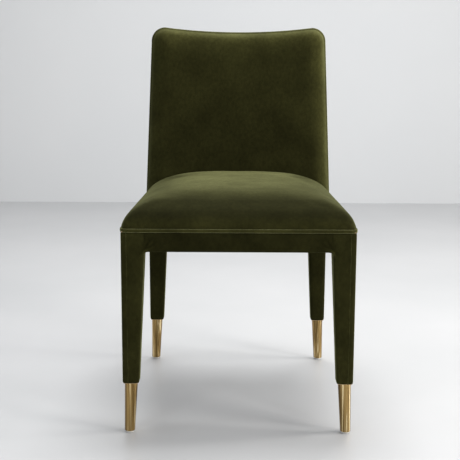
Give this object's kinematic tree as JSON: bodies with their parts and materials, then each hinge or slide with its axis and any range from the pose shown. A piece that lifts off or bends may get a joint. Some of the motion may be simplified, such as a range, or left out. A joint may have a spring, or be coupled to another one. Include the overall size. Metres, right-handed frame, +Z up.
{
  "type": "dining chair",
  "caption": "Upholstered side chair with a crowned seat, a gently scooped upright back, tapered covered legs and tapered metal ferrules.",
  "frame": {"origin": "on the floor, under the middle of the chair's width and depth", "axes": "+Z up, the chair faces -Y, +X is the right side as seen from the front"},
  "size_m": [0.4998, 0.624, 0.884],
  "materials": {
    "velvet": "olive green cut-pile velvet, satin sheen at grazing angles",
    "brushed_brass": "satin brushed brass, lacquered",
    "nylon": "off-white nylon",
    "steel": "zinc plated steel",
    "beech": "plain planed beech, unfinished",
    "hardboard": "brown hardboard",
    "webbing": "natural elastic webbing with a woven stripe",
    "foam": "cream polyurethane foam",
    "wadding": "white polyester wadding",
    "dust_cloth": "black non-woven dust cloth"
  },
  "bodies": {
    "root": {"apron_cover_front": "velvet", "apron_cover_left": "velvet", "apron_cover_right": "velvet", "back_board": "hardboard", "back_cover_front": "velvet", "back_cover_rear": "velvet", "back_foam": "foam", "back_rail_crest": "beech", "back_rail_dowels": "beech", "back_rail_lower": "beech", "back_rail_middle": "beech", "back_wadding": "wadding", "back_webbing": "webbing", "back_webbing_staples": "steel", "corner_block_front_left": "beech", "corner_block_front_right": "beech", "corner_block_rear_left": "beech", "corner_block_rear_right": "beech", "corner_block_screws": "steel", "dust_cover": "dust_cloth", "dust_cover_staples": "steel", "ferrule_front_left": "brushed_brass", "ferrule_front_right": "brushed_brass", "ferrule_rear_left": "brushed_brass", "ferrule_rear_right": "brushed_brass", "front_leg_left": "beech", "front_leg_right": "beech", "glide_front_left": "nylon", "glide_front_right": "nylon", "glide_nails": "steel", "glide_rear_left": "nylon", "glide_rear_right": "nylon", "leg_cover_front_left": "velvet", "leg_cover_front_right": "velvet", "leg_cover_rear_left": "velvet", "leg_cover_rear_right": "velvet", "rear_leg_left": "beech", "rear_leg_right": "beech", "rear_padding": "wadding", "seat_cover_top": "velvet", "seat_foam": "foam", "seat_rail_dowels": "beech", "seat_rail_front": "beech", "seat_rail_left": "beech", "seat_rail_rear": "beech", "seat_rail_right": "beech", "seat_seam": "velvet", "seat_wadding": "wadding", "seat_webbing_crosswise": "webbing", "seat_webbing_lengthwise": "webbing", "tack_strips": "steel", "webbing_staples": "steel"}
  },
  "joints": []
}
